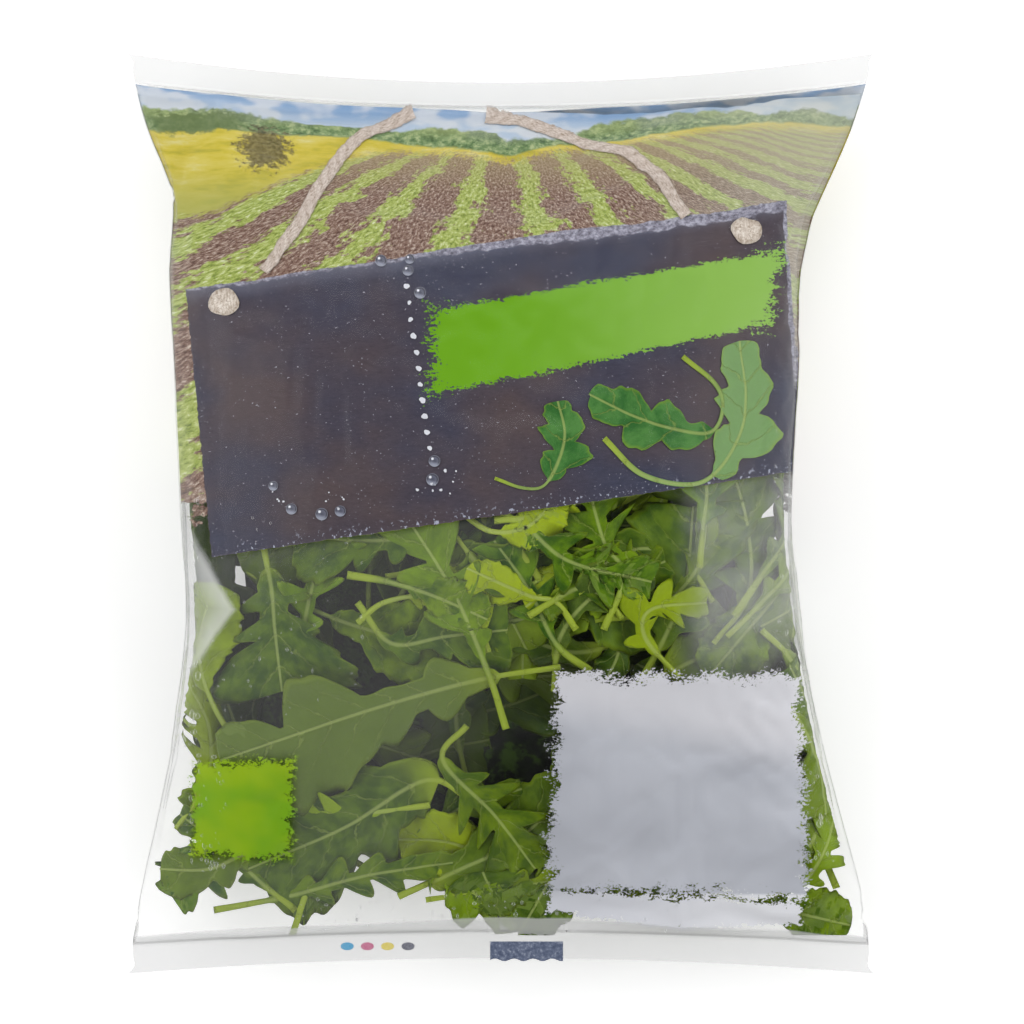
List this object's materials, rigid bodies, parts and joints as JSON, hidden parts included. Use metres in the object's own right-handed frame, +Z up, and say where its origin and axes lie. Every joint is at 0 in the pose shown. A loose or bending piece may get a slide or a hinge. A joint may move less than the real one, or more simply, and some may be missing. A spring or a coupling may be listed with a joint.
{
  "type": "bag of salad leaves",
  "caption": "Sealed clear film pillow bag of loose rocket leaves, printed on its upper front, with a flat heat-sealed strip at each end, lying on its back.",
  "frame": {"origin": "on the table under the middle of the bag, at the centre of the underside of its box", "axes": "+X across the bag, +Y along the bag towards its top seal, +Z up out of the printed front"},
  "size_m": [0.2186, 0.2701, 0.0705],
  "materials": {
    "salad_bag": "glossy clear film over green leaves"
  },
  "bodies": {
    "root": {"salad_bag": "salad_bag"}
  },
  "joints": []
}
